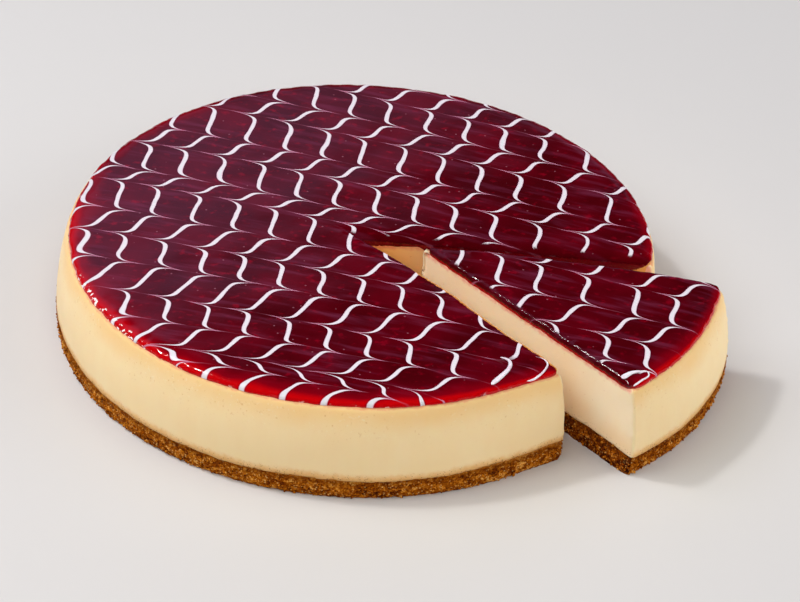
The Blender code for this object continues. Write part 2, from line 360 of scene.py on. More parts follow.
class Nodes:
    """A node tree, and the one way in which nodes are added to it."""

    def __init__(self, tree):
        self.tree = tree

    def node(self, kind, settings=None, values=None, out=0):
        """Adds one node: its settings first, then its sockets' values or links."""
        made = self.tree.nodes.new("ShaderNode" + kind)
        for setting, value in (settings or {}).items():
            if setting == "stops":
                for _ in value[2:]:
                    made.color_ramp.elements.new(0.5)
                for element, (position, colour) in zip(made.color_ramp.elements, value):
                    element.position, element.color = position, colour
            else:
                setattr(made, setting, value)
        for socket, value in (values or {}).items():
            self.give(made.inputs[socket], value)
        return Number(self, made.outputs[out])

    def give(self, socket, value):
        """Links a socket or sets its value."""
        value = getattr(value, "socket", value)
        if isinstance(value, bpy.types.NodeSocket):
            self.tree.links.new(value, socket)
        else:
            socket.default_value = value

    def split(self, vector):
        """The three parts of a vector as numbers."""
        parts = self.node("SeparateXYZ", values={0: vector}).socket.node
        return [Number(self, parts.outputs[i]) for i in range(3)]

    def blend(self, share, first, second):
        """Colour mixed from the first to the second by a share."""
        return self.node("Mix", {"data_type": "RGBA"}, {0: share, 6: first, 7: second}, out=2)


class Look(Nodes):
    """A material on the Principled shader. fixed are the sockets that are the same all over."""

    def __init__(self, name, fixed):
        self.material = bpy.data.materials.new(name)
        self.material.use_nodes = True
        super().__init__(self.material.node_tree)
        self.shader = self.tree.nodes["Principled BSDF"]
        for socket, value in fixed.items():
            self.shader.inputs[socket].default_value = value
        self.place = self.node("TexCoord", out="Object").socket

    def drive(self, **values):
        """Feeds sockets of the shader; an underscore in a name stands for a space."""
        for socket, value in values.items():
            self.give(self.shader.inputs[socket.replace("_", " ").title()], value)

    def mark(self, name):
        """A number kept on the skin's points."""
        return self.node("Attribute", {"attribute_name": name}, out="Fac")

    def moved(self, stretch, shift):
        """The place, drawn out and shifted, for a pattern."""
        return self.node("VectorMath", {"operation": "MULTIPLY_ADD"},
                         {0: self.place, 1: stretch, 2: (shift, shift, shift)})

    def clouds(self, size, detail=2.0, stretch=(1, 1, 1), shift=0.0):
        """Soft noise from 0 to 1 with features of about this size."""
        return self.node("TexNoise", values={"Vector": self.moved(stretch, shift), "Scale": 1 / size,
                                             "Detail": detail})

    def drawn(self, along, across, size, detail=2.0):
        """Soft noise over two numbers of the surface instead of the place."""
        flat = self.node("CombineXYZ", values={0: along, 1: across})
        return self.node("TexNoise", values={"Vector": flat, "Scale": 1 / size, "Detail": detail})

    def cells(self, size, out="Distance", shift=0.0):
        """Distance to the nearest of many random spots, in cell sizes, or each spot's own colour."""
        return self.node("TexVoronoi", values={"Vector": self.moved((1, 1, 1), shift), "Scale": 1 / size},
                         out=out)

    def bump(self, height, depth, strength=1.0):
        """Relief of this depth in metres from a height of 0 to 1."""
        return self.node("Bump", values={"Height": height, "Distance": depth, "Strength": strength})


def paint(red, green, blue):
    """A screen colour, 0 to 255, as the shader's linear colour."""
    linear = [c / 255 / 12.92 if c <= 10 else ((c / 255 + 0.055) / 1.055) ** 2.4
              for c in (red, green, blue)]
    return (*linear, 1.0)


# ---- Finishes


def feathering(look, x, y, piped, right, left):
    """White lines that were piped side by side and then pulled crosswise, to the right and the left in
    turn. A pull moves the glaze by length / (1 + distance / width) ^ power, so a line is white where
    its place before the pulls lies within half its width of where it was piped. The hand shook a
    little. Returns the distance to the nearest line there and to the nearest pull, and the places
    across and along the lines."""
    shake, shake_length = 2.4 * MM, 13 * MM
    x = x + (look.clouds(shake_length, 1.0, shift=11.0) - 0.5) * shake
    y = y + (look.clouds(shake_length, 1.0, shift=13.0) - 0.5) * shake
    q = x * math.cos(PULL_TURN) + y * math.sin(PULL_TURN)
    s = y * math.cos(PULL_TURN) - x * math.sin(PULL_TURN)
    level = s - (q * PULL_LEAN + q * s * PULL_FAN + q * q * PULL_CURVE)
    before = q - (s * LINE_LEAN + s * s * LINE_CURVE + q * s * LINE_FAN)
    nearest = None
    for way, pulls in ((1, right), (-1, left)):
        for pull, force in pulls:
            away = abs(level - pull * MM)
            before = before - (away / PULL_WIDTH + 1) ** -PULL_POWER * (way * force * PULL_LENGTH)
            nearest = away if nearest is None else nearest.least(away)
    off = None
    for line in piped:
        apart = abs(before - line)
        off = apart if off is None else off.least(apart)
    return off, nearest, q, level


def glaze_look(name, turn, shift, pattern, cut_lip, drag):
    """Set raspberry jelly, deep and dark where it lies thick and bright red at its thin rim, partly its own
    red and partly painted light where light comes through, with bits of berry in it, milky smears along the
    pulls, and the white feathering, which stops at the shoulder of the first cut. That shoulder is darkened
    by painted shade, its lip and the rim carry painted glints and sparkles, and painted shade lies in a
    dark band beside the white lines. The slice carries the pattern with it, so its place is turned and
    shifted back to where it lay. cut_lip is how bright the lip over that cut is, and drag how far the lines
    lean to the left at the front rim."""
    look = Look(name, {"IOR": 1.40, "Specular IOR Level": 0.5})
    x, y, z = look.split(look.place)
    x, y = x - shift[0], y - shift[1]
    cake_x = x * math.cos(turn) - y * math.sin(turn) + shift[2]
    cake_y = x * math.sin(turn) + y * math.cos(turn) + shift[3]
    shore, rim, edge = look.mark("shore"), look.mark("rim"), look.mark("edge")
    frontal = (cake_y * (-1 / GLAZE_RADIUS)).rise(-0.6, 0.9)
    leaning = cake_x + shore.rise(9 * MM, 0.0) * frontal * drag
    off, nearest, along, level = feathering(look, leaning, cake_y, *pattern)

    # The jelly: uneven depth, milky smears, berry and specks.
    drift = look.clouds(24 * MM, 3.0)
    ragged = look.clouds(1.4 * MM, 2.0, shift=9.0)
    colour = look.blend(drift.rise(0.3, 0.72), paint(66, 0, 6), paint(92, 0, 14))
    smear = look.drawn(along * 0.2, level * 1.5, 7 * MM, 4.0).rise(0.48, 0.8)
    colour = look.blend(smear * 0.4, colour, paint(128, 52, 84))
    berry = look.clouds(3.4 * MM, 3.0, (0.8, 1, 1), 17.0).rise(0.56, 0.80)
    colour = look.blend(berry * 0.4, colour, paint(168, 4, 34))
    speck = look.cells(6 * MM, shift=5.0).rise(0.085, 0.04)
    colour = look.blend(speck * 0.3, colour, paint(206, 130, 150))

    # Painted light in the thin rim: a red that is partly the thin jelly's own and partly painted glow where
    # light comes through, painted to reach further in at the front and on the left, and brighter at the
    # front.
    reach = frontal * (1.8 * MM) + (drift - 0.5) * (7 * MM) + 1.5 * MM
    reach = (reach * (1 - cake_x * (0.7 / GLAZE_RADIUS)).most(0.65)).most(0.7 * MM)
    rim_red_and_glow = (1 - shore / (reach * 2.6 + 2 * MM)).rise(0.0, 0.9) * rim
    colour = look.blend(rim_red_and_glow, colour, paint(128, 0, 16))
    lit = (1 - shore / reach).rise(0.0, 0.9) * rim * (frontal * 0.35 + 0.65)
    colour = look.blend(lit, colour, paint(196, 2, 8))

    # The first cut's shoulder darkened by painted shade, its red lip with painted glints, and painted
    # sparkles on the rim at the front left.
    # painted shade: the shoulder along the first cut is darkened in its colour
    colour = look.blend((1 - edge) * 0.75, colour, paint(66, 0, 4))
    lip = (z + (ragged - 0.5) * (1.1 * MM) - FILLING_TOP).rise(0.9 * MM, 0.2 * MM)
    colour = look.blend(lip * (edge * (1 - cut_lip) + cut_lip) * 0.7, colour, paint(186, 6, 20))
    # painted glints: pale highlights on the red lip
    painted_glint = look.clouds(2.6 * MM, 2.0, shift=31.0).rise(0.60, 0.68) * lip * edge
    colour = look.blend(painted_glint * 0.7, colour, paint(252, 214, 204))
    # painted sparkles: white highlights on the rim at the front left
    left_front = cake_x * (-0.84 / GLAZE_RADIUS) + cake_y * (-0.54 / GLAZE_RADIUS)
    painted_sparkle = look.clouds(1.8 * MM, 3.0, shift=37.0).rise(0.585, 0.61)
    painted_sparkle = painted_sparkle * (1 - shore / (2.0 * MM)).rise(0.0, 0.4) * left_front.rise(0.96, 0.985)

    # The threads that the pulls left, and the white lines with painted shade in a dark band beside them.
    trail = look.drawn(along, level * 3, 9 * MM).rise(0.35, 0.7)
    thread = nearest.rise(0.36 * MM, 0.08 * MM) * (trail * 0.15 + off.rise(5.0 * MM, 0.8 * MM) * 0.34)
    colour = look.blend(thread, colour, paint(206, 120, 152))
    width = (look.clouds(9 * MM, 1.0, shift=3.0) - 0.5) * (0.5 * MM) + LINE_HALF
    width = width + shore.rise(4 * MM, 0.0) * frontal * (0.35 * MM)
    across = off / width
    kept = (edge + (ragged - 0.5) * 0.3).rise(0.32, 0.6) * look.mark("piped")
    # painted shade: a dark band along each side of the white lines
    colour = look.blend(across.rise(1.75, 1.15) * kept * 0.4, colour, paint(44, 0, 26))
    white = across.rise(1.06, 0.84) * kept
    milk = look.blend(across.rise(0.35, 0.95), paint(226, 225, 230), paint(234, 198, 214))
    milk = look.blend(nearest.rise(0.15 * MM, 1.2 * MM), paint(216, 142, 172), milk)
    colour = look.blend(white, colour, milk)

    # The golden edge of the filling, which the glaze leaves bare, the painted sparkles, and gentle waves.
    bare = look.mark("bare") + (ragged - 0.5) * (1.1 * MM)
    colour = look.blend(bare.rise(1.9 * MM, 1.5 * MM), colour, paint(226, 152, 76))
    colour = look.blend(painted_sparkle, colour, paint(255, 250, 248))
    wave = look.clouds(15 * MM, 1.0, shift=7.0)
    relief = look.bump(wave + white * 0.5 + ragged * ((1 - edge) * 5.0 + 0.1), 0.05 * MM)
    look.drive(base_color=colour, roughness=white * 0.2 + smear * 0.08 + 0.06, normal=relief)
    return look.material


def speckle(look, size, shift):
    """Small separate specks, on about half of the cells of this size, from 0 to 1."""
    spot, own = look.cells(size, shift=shift), look.cells(size, "Color", shift=shift)
    return spot.rise(0.42, 0.18) * own.rise(0.48, 0.6)


def cream_look():
    """Baked cream cheese: pale cream, golden and blistered towards the top of the wall, browned where it
    meets the crust, smooth where the knife went, and stained red just under the glaze. The cut faces near
    the notch's point carry painted warm bounce light, and the upright edges a painted highlight."""
    look = Look("baked_cream", {"Roughness": 0.5, "IOR": 1.4, "Specular IOR Level": 0.35,
                                "Subsurface Weight": 0.2, "Subsurface Scale": 0.004,
                                "Subsurface Radius": (1.0, 0.55, 0.25)})
    z = look.split(look.place)[2]
    cut, inner, up, corner, hang = (look.mark(mark) for mark in ("cut", "inner", "up", "corner", "hang"))
    drop = FILLING_TOP - z
    soft = look.clouds(17 * MM, 3.0, (1, 1, 0.6))
    fine = look.clouds(2.4 * MM, 3.0)
    brushed = look.clouds(5 * MM, 2.0, (1, 1, 0.12), 5.0)

    # The baked wall.
    wall = look.blend(soft * 0.7 + brushed * 0.3, paint(255, 231, 185), paint(250, 216, 161))
    golden = (drop + (soft - 0.5) * (14 * MM)).rise(11 * MM, 0.5 * MM)
    wall = look.blend(golden * 0.6, wall, paint(246, 196, 122))
    baked = (up + (fine - 0.5) * (2.6 * MM) + (soft - 0.5) * (3 * MM)).rise(4.2 * MM, 0.1 * MM)
    wall = look.blend(baked * 0.7, wall, paint(230, 160, 64))

    # The cut faces, with painted warm bounce light near the notch's point.
    inside = look.blend(soft, paint(255, 237, 206), paint(252, 225, 186))
    inside = look.blend(inner, inside, paint(247, 172, 62))
    low = (drop + (soft - 0.5) * (10 * MM)).rise(14 * MM, 30 * MM)
    inside = look.blend(low * 0.35, inside, paint(238, 182, 106))
    stain = (drop - hang + (fine - 0.5) * (3.0 * MM)).rise(2.2 * MM, 0.1 * MM)
    inside = look.blend(stain * (1 - corner) * 0.6, inside, paint(226, 92, 84))
    colour = look.blend(cut, wall, inside)

    # Seam, a painted highlight along the corners, pits, blisters and crumbs.
    seam = (drop + (fine - 0.5) * (1.6 * MM)).rise(0.8 * MM, 0.2 * MM)
    colour = look.blend(seam * (1 - cut) * 0.6, colour, paint(240, 150, 118))
    # painted highlight: the upright edges of the cuts lighter, as if catching the light
    colour = look.blend(corner * 0.7, colour, paint(255, 234, 186))
    band = drop.rise(1.0 * MM, 3 * MM) * drop.rise(18 * MM, 7 * MM) * soft.rise(0.35, 0.6)
    pit = look.clouds(1.3 * MM, 3.0, shift=21.0).rise(0.62, 0.72) * band
    colour = look.blend(pit * (1 - cut) * 0.5, colour, paint(214, 156, 88))
    blister = look.clouds(1.7 * MM, 2.0, shift=27.0).rise(0.60, 0.72) * band
    colour = look.blend(blister * (1 - cut) * 0.45, colour, paint(255, 234, 196))
    crumb_dust = speckle(look, 0.8 * MM, 6.0) * up.rise(4.0 * MM, 0.3 * MM)
    colour = look.blend(crumb_dust * 0.7, colour, paint(150, 84, 26))
    pin = look.cells(4.6 * MM, shift=2.0).rise(0.10, 0.04) * cut
    colour = look.blend(pin * 0.3, colour, paint(214, 150, 96))
    height = fine * 0.3 + soft * 0.6 - pin * 0.5 + brushed * 0.15 - pit * 0.3 + blister * 0.2
    look.drive(base_color=colour, normal=look.bump(height, 0.4 * MM, 0.5))
    return look.material


def crumb_look():
    """Biscuit crumbs pressed with butter: orange brown, grains from nearly black to golden, darker
    along the top and where the knife went, with a golden line where the filling begins."""
    look = Look("biscuit_crumb", {"Roughness": 0.85, "IOR": 1.45, "Specular IOR Level": 0.08})
    z = look.split(look.place)[2]
    tone, cut = look.mark("tone"), look.mark("cut")
    grain = look.split(look.cells(0.75 * MM, "Color"))[0]
    coarse = look.split(look.cells(2.2 * MM, "Color", shift=3.0))[1]
    patch = look.clouds(10 * MM, 3.0)
    mixed = tone * 0.24 + grain * 0.5 + coarse * 0.3 + patch * 0.5 - 0.26 - cut * 0.32
    colour = look.node("ValToRGB", {"stops": [
        (0.0, paint(48, 12, 0)), (0.28, paint(112, 46, 0)), (0.55, paint(164, 86, 6)),
        (0.78, paint(208, 128, 30)), (1.0, paint(246, 192, 100))]}, {0: mixed})
    edge = (z + (patch - 0.5) * (3 * MM)).rise(5.2 * MM, 8.6 * MM)
    colour = look.blend(edge * 0.5, colour, paint(104, 48, 4))
    joint = (z + (patch - 0.5) * (2 * MM)).rise(8.6 * MM, 9.8 * MM)
    colour = look.blend(joint * (1 - cut) * 0.6, colour, paint(186, 120, 48))
    pale = speckle(look, 1.2 * MM, 5.0) * (1 - edge * 0.7) * (1 - cut * 0.6)
    colour = look.blend(pale * 0.6, colour, paint(244, 196, 118))
    pebble = look.cells(1.0 * MM, shift=2.0)
    look.drive(base_color=colour, normal=look.bump(pebble, 0.5 * MM, 0.8))
    return look.material


def icing_look():
    """Thick ends of the piped lines: soft white, a little glossy."""
    look = Look("piped_white", {"Roughness": 0.26, "IOR": 1.42})
    cloud = look.clouds(3 * MM, 2.0)
    look.drive(base_color=look.blend(cloud.rise(0.35, 0.7), paint(242, 238, 246), paint(232, 212, 226)))
    return look.material


# ---- The layers


def hanging(plan, x, y, leg, from_point):
    """How far the glaze hangs down the first cut: on the cake it ran over near the notch's point and
    from 25 mm on, on the slice it only makes small drops."""
    hang = 0.3 + 0 * from_point
    if plan.hollow:
        hang = hang + 1.8 * bell(from_point, 14 * MM) + 7.4 * step((from_point - 25.5 * MM) / (8 * MM))
    hang = hang * (leg == -1) * (1 + 0.4 * swell(x[:1], y[:1], 0 * x[:1], 3.0 * MM, 25)[0])
    for _ in range(4):
        hang = (np.roll(hang, 1) + np.roll(hang, -1) + hang) / 3
    return hang * MM


def rim_height(gap):
    """Share of the glaze's full height at this distance from its round rim: a quarter ellipse."""
    across = np.clip(gap / (6.5 * MM), 0, 1)
    return 0.24 + 0.76 * np.sqrt(1 - (1 - across) ** 2)


def lumps(x, y, parts):
    """Noises of several sizes added up. parts has the height, the size, the seed and the weight of
    each."""
    return sum(height * MM * swell(x, y, 0 * x, size * MM, seed) * weight
               for height, size, seed, weight in parts)


def glaze_marks(plan, x, y, first, last, edge, near_edge, rim_gap, cut_gap, side_share, leg):
    """Numbers for the glaze's material. shore is the distance to the nearest edge of the layer, rim is
    1 at the round rim and falls to 0 at the cuts, bare is small where the golden edge of the filling
    shows at the cake's cuts, edge is 0 on the first cut's side and 1 inside, and piped is 0 where the
    white lines end short: at one corner, and where a thick end lies. x and y are all rings, while
    first, last, edge and the gaps are those of the top, above the side's rings and three under it."""
    sides, far_away = len(side_share) + 3, 9 * MM
    below = np.zeros((sides, x.shape[1]))
    rim = np.clip(cut_gap / (5 * MM), 0, 1) * np.exp(-(rim_gap / (14 * MM)) ** 4)
    turned, spared = (plan.last, 12) if plan.hollow else (plan.first, 9)
    corner = ahead(plan.point, turned, plan.reach(turned, GLAZE_RADIUS))
    piped = np.hypot(x - corner[0], y - corner[1]) / MM - spared
    if plan.hollow:
        wiped = np.where(leg == 1, 0.0, far_away)
        bare = np.concatenate([np.where(first < -3 * MM, last, far_away), below + wiped])
        corner = ahead(plan.point, plan.first, plan.reach(plan.first, GLAZE_RADIUS))
        height_left = np.concatenate([0 * first + 3.4 * MM, 3.4 * MM * side_share - 1.2 * MM + below[:1],
                                      below[:3]])
        bare = np.minimum(bare, height_left + 0.16 * np.hypot(x - corner[0], y - corner[1]) - 0.6 * MM)
        along = ((x - plan.point[0]) * math.cos(plan.last) + (y - plan.point[1]) * math.sin(plan.last)) / MM
        bare = bare + 1.2 * MM * step((38 - along) / 8) * (bare < 3 * MM)
        stroke = np.hypot((x - CAKE_AXIS[0] - 58 * MM) / 7.0, (y - CAKE_AXIS[1] + 100.5 * MM) / 13.0) / MM
        piped = np.minimum(piped, stroke * 3 - 3)
    else:
        bare = np.full(x.shape, far_away)
    return {"shore": np.concatenate([near_edge, below]),
            "rim": np.concatenate([rim, np.repeat(rim[-1:], sides, 0)]),
            "bare": bare, "piped": np.clip(piped, 0, 1),
            "edge": np.concatenate([edge, below + (leg != -1)])}


def glaze(name, plan, look, node):
    """Glaze that set with a wide thin rim and round shoulders along the cuts. Seen from above its rings
    are copies of the outline drawn towards the core. The height over the filling is the product of a
    quarter ellipse across the rim and one across the cuts, and lumps and dents run along the edge. It
    hangs a little way down the first cut."""
    x, y, leg, from_point, from_corner = plan.outline(np.array([[GLAZE_RADIUS]]), 0.9 * MM)
    blunt = bell(from_corner, 4 * MM)
    if not plan.hollow:
        blunt = np.maximum(blunt, bell(from_point, 4 * MM))
    x, y = soften(x, y, blunt, 16)
    nx, ny = outward(x, y)
    span = (x - plan.core[0]) * nx + (y - plan.core[1]) * ny
    for _ in range(40):
        span = (np.roll(span, 1, 1) + np.roll(span, -1, 1)) / 2
    insets = np.array([7.6, 6.3, 5.2, 4.3, 3.5, 2.8, 2.2, 1.7, 1.3, 0.95, 0.65, 0.4, 0.2, 0.07, 0.0])
    insets = insets[:, None] * MM
    edge_share = 1 - insets / span
    inner_share = np.linspace(POLE, 1, 38, endpoint=False)[:, None] * edge_share[0]
    top_x, top_y = shrunk(x, y, plan.core, np.concatenate([inner_share, edge_share]))

    # The height of the top, from the distances to the rim and to both cuts.
    low = FILLING_TOP - 0.1 * MM
    rim_gap = np.maximum(GLAZE_RADIUS - np.hypot(top_x - plan.axis[0], top_y - plan.axis[1]), 0)
    first, last, cut_gap = plan.from_cuts(top_x, top_y)
    by_first, by_last = first / plan.shoulders[0], last / plan.shoulders[1]
    if plan.hollow:
        across_cut = np.clip(np.maximum(by_first, by_last), 0, 1)
        edge = np.where(first > -4 * MM, across_cut, 1.0)
    else:
        by_first, by_last = np.maximum(by_first, 0), np.maximum(by_last, 0)
        across_cut = np.clip(by_first * by_last / (np.hypot(by_first, by_last) + 1e-9), 0, 1)
        edge = np.clip(by_first, 0, 1)
    height = rim_height(rim_gap) * (0.1 + 0.9 * np.sqrt(1 - (1 - across_cut) ** 2))
    near_edge = np.minimum(rim_gap, np.maximum(cut_gap, 0))
    dome = lumps(top_x, top_y, ((0.05, 17, 5, 1), (0.22, 3.4, 6, bell(near_edge, 3.6 * MM)),
                                (0.10, 1.3, 7, bell(near_edge, 1.6 * MM))))
    top_z = low + (GLAZE_TOP - 0.1 * MM - low) * height + dome * np.minimum(height * 1.6, 1)
    top_z = np.minimum(top_z, GLAZE_TOP + 0.1 * MM)

    # The side, which hangs and bulges, and the flat underside.
    hang = hanging(plan, x, y, leg, from_point)
    side_share = np.array([0.75, 0.45, 0.15, 0.0])[:, None]
    side_z = low - hang + (top_z[-1:] - low + hang) * side_share
    bulge = (0.12 * MM + np.minimum(0.12 * hang, 0.5 * MM)) * np.array([1.0, 1.0, 0.6, -0.3])[:, None]
    side_x, side_y = x + nx * bulge, y + ny * bulge
    under_x, under_y = shrunk(x, y, plan.core, np.array([[0.98], [0.5], [POLE]]))
    all_x = np.concatenate([top_x, side_x, under_x])
    all_y = np.concatenate([top_y, side_y, under_y])
    all_z = np.concatenate([top_z, side_z, np.full(under_x.shape, low)])
    inset = np.concatenate([np.repeat(insets[:1], len(inner_share), 0), insets,
                            np.zeros((len(side_share) + 3, 1))])
    wander = lumps(all_x, all_y, ((0.32, 9, 21, 1), (0.24, 2.8, 22, 1), (0.12, 1.2, 23, 1))) - 0.2 * MM
    wander = wander * np.maximum(np.exp(-inset / (2.0 * MM)) - 0.03, 0)
    all_x, all_y = all_x + nx * wander, all_y + ny * wander

    marks = glaze_marks(plan, all_x, all_y, first, last, edge, near_edge, rim_gap, cut_gap, side_share, leg)
    all_x, all_y = eased(plan, all_x, all_y, 0.0)
    made = skin(name, all_x, all_y, all_z, look, marks, plan.core if plan.hollow else None)
    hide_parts(node)


def capped(x, y, core, lid, floor):
    """A side's rings with rings of the lid before them and of the floor after them, which are copies
    of the first and the last one drawn towards the core by these shares."""
    above = shrunk(x[:1], y[:1], core, np.array(lid)[:, None])
    below = shrunk(x[-1:], y[-1:], core, np.array(floor)[:, None])
    return (np.concatenate([above[i], (x, y)[i], below[i]]) for i in (0, 1))


def crust_line(x, y):
    """Rise and fall of the line between filling and crust."""
    return lumps(x, y, ((0.9, 17, 31, 1), (0.35, 5, 32, 1)))


def wall_radius(height, widest):
    """The filling's outer radius: it swells from under the glaze down to the base."""
    down = np.clip((height - BASE_HEIGHT) / (FILLING_TOP - BASE_HEIGHT), 0, 1)
    return WALL_TOP_RADIUS + (widest - WALL_TOP_RADIUS) * (1 - down ** 2) ** WALL_BULGE


def filling(name, plan, look, node):
    """Cream filling. Its rings are outlines whose arc follows the swelling wall, and the lowest rings
    ride on the wavy crust line. The wall has shallow dents, and the corners of the cuts are ragged.
    Its marks are cut, 1 on the cut faces, one for the painted warm bounce light on the cut faces, high near
    the notch's point, up, the height over the crust, corner, 1 along the upright edges, where the cream
    gets a painted highlight, and hang, how far the glaze comes down over it."""
    share = np.linspace(0, 1, 42)[:, None]
    height = FILLING_TOP - (FILLING_TOP - BASE_HEIGHT) * (share * 0.85 + 0.15 * share ** 3)
    radius = wall_radius(height, plan.widest)
    x, y, leg, from_point, from_corner = plan.outline(radius, 0.85 * MM)
    on_arc = (leg == 0).astype(float)
    x, y = soften(x, y, bell(from_corner, 1.2 * MM), 1)
    nx, ny = outward(x, y)
    z = height + crust_line(x, y) * share ** 3
    up = z - BASE_HEIGHT - crust_line(x, y)
    # painted warm bounce light on the cake's cut faces, strongest near the notch's point
    inner = bell(from_point, 38 * MM) * (1 - on_arc) * (0.9 if plan.hollow else 0.0)
    dent = 0.22 * MM * (swell(x, y, z, 22 * MM, 41) - 1) + 0.07 * MM * swell(x, y, z, 5 * MM, 42)
    to_corner = from_corner if plan.hollow else np.minimum(from_corner, from_point)
    corner = bell(to_corner, 2.2 * MM)
    torn = 0.35 * MM * (swell(x, y, z, 2.2 * MM, 43) - 0.7) * corner
    smear = 0.12 * MM * (swell(x, y, z, 8 * MM, 44) - 1) * (1 - on_arc)
    shoulder = -0.6 * MM * np.exp(-share / 0.02)
    push = dent * on_arc + smear + torn + shoulder
    down = (height - BASE_HEIGHT) / (FILLING_TOP - BASE_HEIGHT)
    x, y = eased(plan, x + nx * push, y + ny * push, 1 - down ** 2)
    all_x, all_y = capped(x, y, plan.core, (POLE, 0.5, 0.94), (0.985, 0.5, POLE))
    all_z = np.concatenate([np.full((3, x.shape[1]), FILLING_TOP), z, np.repeat(z[-1:], 3, 0) - 0.3 * MM])
    up = np.concatenate([np.repeat(up[:1], 3, 0), up, np.repeat(up[-1:], 3, 0)])
    marks = {"cut": (1 - on_arc)[None], "inner": inner[None], "up": up,
             "corner": bell(to_corner, 0.8 * MM)[None],
             "hang": hanging(plan, x, y, leg, from_point)[None]}
    made = skin(name, all_x, all_y, all_z, look, marks, plan.core if plan.hollow else None)
    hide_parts(node)


def crumb_base(name, plan, look, node):
    """Pressed crumbs. The side is rough with grains of two sizes, which stand out as round bumps, and
    the top and the foot of the side are ragged. Returns the side's points for the loose crumbs."""
    share = np.linspace(0, 1, 20)[:, None]
    height = BASE_HEIGHT * (1 - share)
    radius = plan.foot + (plan.widest - plan.foot) * np.sin((1 - share) * math.pi / 2) ** 0.5
    x, y, leg, _, from_corner = plan.outline(radius, 0.55 * MM)
    on_arc = (leg == 0).astype(float)
    x, y = soften(x, y, bell(from_corner, 3.0 * MM), 14)
    nx, ny = outward(x, y)
    z = height + (crust_line(x, y) + 0.35 * MM * swell(x, y, 0 * x, 1.6 * MM, 51)) * (1 - share)
    big, tone = grains(x, y, z, 2.6 * MM, 52)
    small, _ = grains(x, y, z, 1.3 * MM, 53)
    relief = 0.75 * MM * (0.55 - big) + 0.35 * MM * (0.55 - small)
    foot = -0.5 * MM * np.exp(-(1 - share) / 0.10)
    push = relief + foot - 0.45 * MM + 0.1 * MM * on_arc
    push = np.minimum(push, 0.2 * MM) + 1.2 * MM * ((leg == -1) & (not plan.hollow)) * share
    x, y = eased(plan, x + nx * push, y + ny * push, 1.0)
    z = np.maximum(z, 0.0)
    all_x, all_y = capped(x, y, plan.core, (POLE, 0.5, 0.97), (0.98, 0.5, POLE))
    all_z = np.concatenate([np.repeat(z[:1], 3, 0), z, np.zeros((3, x.shape[1]))])
    pad = np.full((3, x.shape[1]), 0.5)
    marks = {"tone": np.concatenate([pad, tone, pad]), "cut": (1 - on_arc)[None]}
    made = skin(name, all_x, all_y, all_z, look, marks, plan.core if plan.hollow else None)
    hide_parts(node)
    return x, y, z, nx, ny


def crumbs(name, sides, count, look, seed):
    """Loose grains stuck to the side of the crust: one icosahedron, roughened, turned by a random unit
    quaternion, sized and placed anew for each grain, all in one mesh."""
    x, y, z, nx, ny = sides
    draw = np.random.default_rng(seed)
    golden = (1 + math.sqrt(5)) / 2
    ball = np.array([(-1, golden, 0), (1, golden, 0), (-1, -golden, 0), (1, -golden, 0),
                     (0, -1, golden), (0, 1, golden), (0, -1, -golden), (0, 1, -golden),
                     (golden, 0, -1), (golden, 0, 1), (-golden, 0, -1), (-golden, 0, 1)])
    ball = ball / 1.902  # brought to a radius of 1
    faces = np.array([(0, 11, 5), (0, 5, 1), (0, 1, 7), (0, 7, 10), (0, 10, 11), (1, 5, 9), (5, 11, 4),
                      (11, 10, 2), (10, 7, 6), (7, 1, 8), (3, 9, 4), (3, 4, 2), (3, 2, 6), (3, 6, 8),
                      (3, 8, 9), (4, 9, 5), (2, 4, 11), (6, 2, 10), (8, 6, 7), (9, 8, 1)])
    row = draw.integers(1, x.shape[0] - 1, count)
    column = draw.integers(0, x.shape[1], count)
    size = 0.28 * MM + 0.5 * MM * draw.random(count) ** 2.2
    turn = draw.normal(size=(count, 4))
    turn /= np.linalg.norm(turn, axis=1, keepdims=True)
    w, i, j, k = turn.T
    spin = np.stack([1 - 2 * (j * j + k * k), 2 * (i * j - k * w), 2 * (i * k + j * w),
                     2 * (i * j + k * w), 1 - 2 * (i * i + k * k), 2 * (j * k - i * w),
                     2 * (i * k - j * w), 2 * (j * k + i * w), 1 - 2 * (i * i + j * j)], axis=1)
    spin = spin.reshape(-1, 3, 3)
    rough = ball[None] * (1 + 0.25 * draw.normal(size=(count, 12, 1)).clip(-1, 1))
    flat = rough * (size[:, None] * draw.uniform(0.6, 1.2, (count, 3)))[:, None, :]
    centre = np.stack([x[row, column], y[row, column], np.maximum(z[row, column], size)], axis=1)
    centre[:, 0] += nx[row, column] * size * 0.25
    centre[:, 1] += ny[row, column] * size * 0.25
    points = np.einsum("nij,nvj->nvi", spin, flat) + centre[:, None, :]
    points[..., 2] = np.maximum(points[..., 2], 0.0)
    all_faces = (faces[None] + 12 * np.arange(count)[:, None, None]).reshape(-1, 3).tolist()
    tones = np.repeat(draw.uniform(0.2, 1.3, count), 12)
    made = piece(name, points.reshape(-1, 3), all_faces, look, {"tone": tones})


# The thick ends: name, layer, points in millimetres from the cake's axis, width and height.
ENDS = (
    ("end_thick", CAKE, ((57.8, -86.4), (61.4, -87.6), (62.3, -91.0),
                         (60.7, -95.5), (57.4, -100.5), (54.2, -104.6)), 2.6, 0.8),
    ("end_curl", CAKE, ((71.4, -85.1), (75.0, -85.9), (77.3, -89.5),
                        (75.2, -94.4), (71.6, -98.0), (68.4, -99.5)), 1.2, 0.4),
    ("slice_end_thick", SLICE, ((113.9, -91.7), (109.8, -93.4), (106.0, -97.2)), 2.9, 0.8),
    ("slice_end_curl", SLICE, ((113.5, -91.7), (116.7, -91.1), (117.4, -93.4),
                               (114.4, -96.3), (110.5, -100.6)), 1.1, 0.4),
)


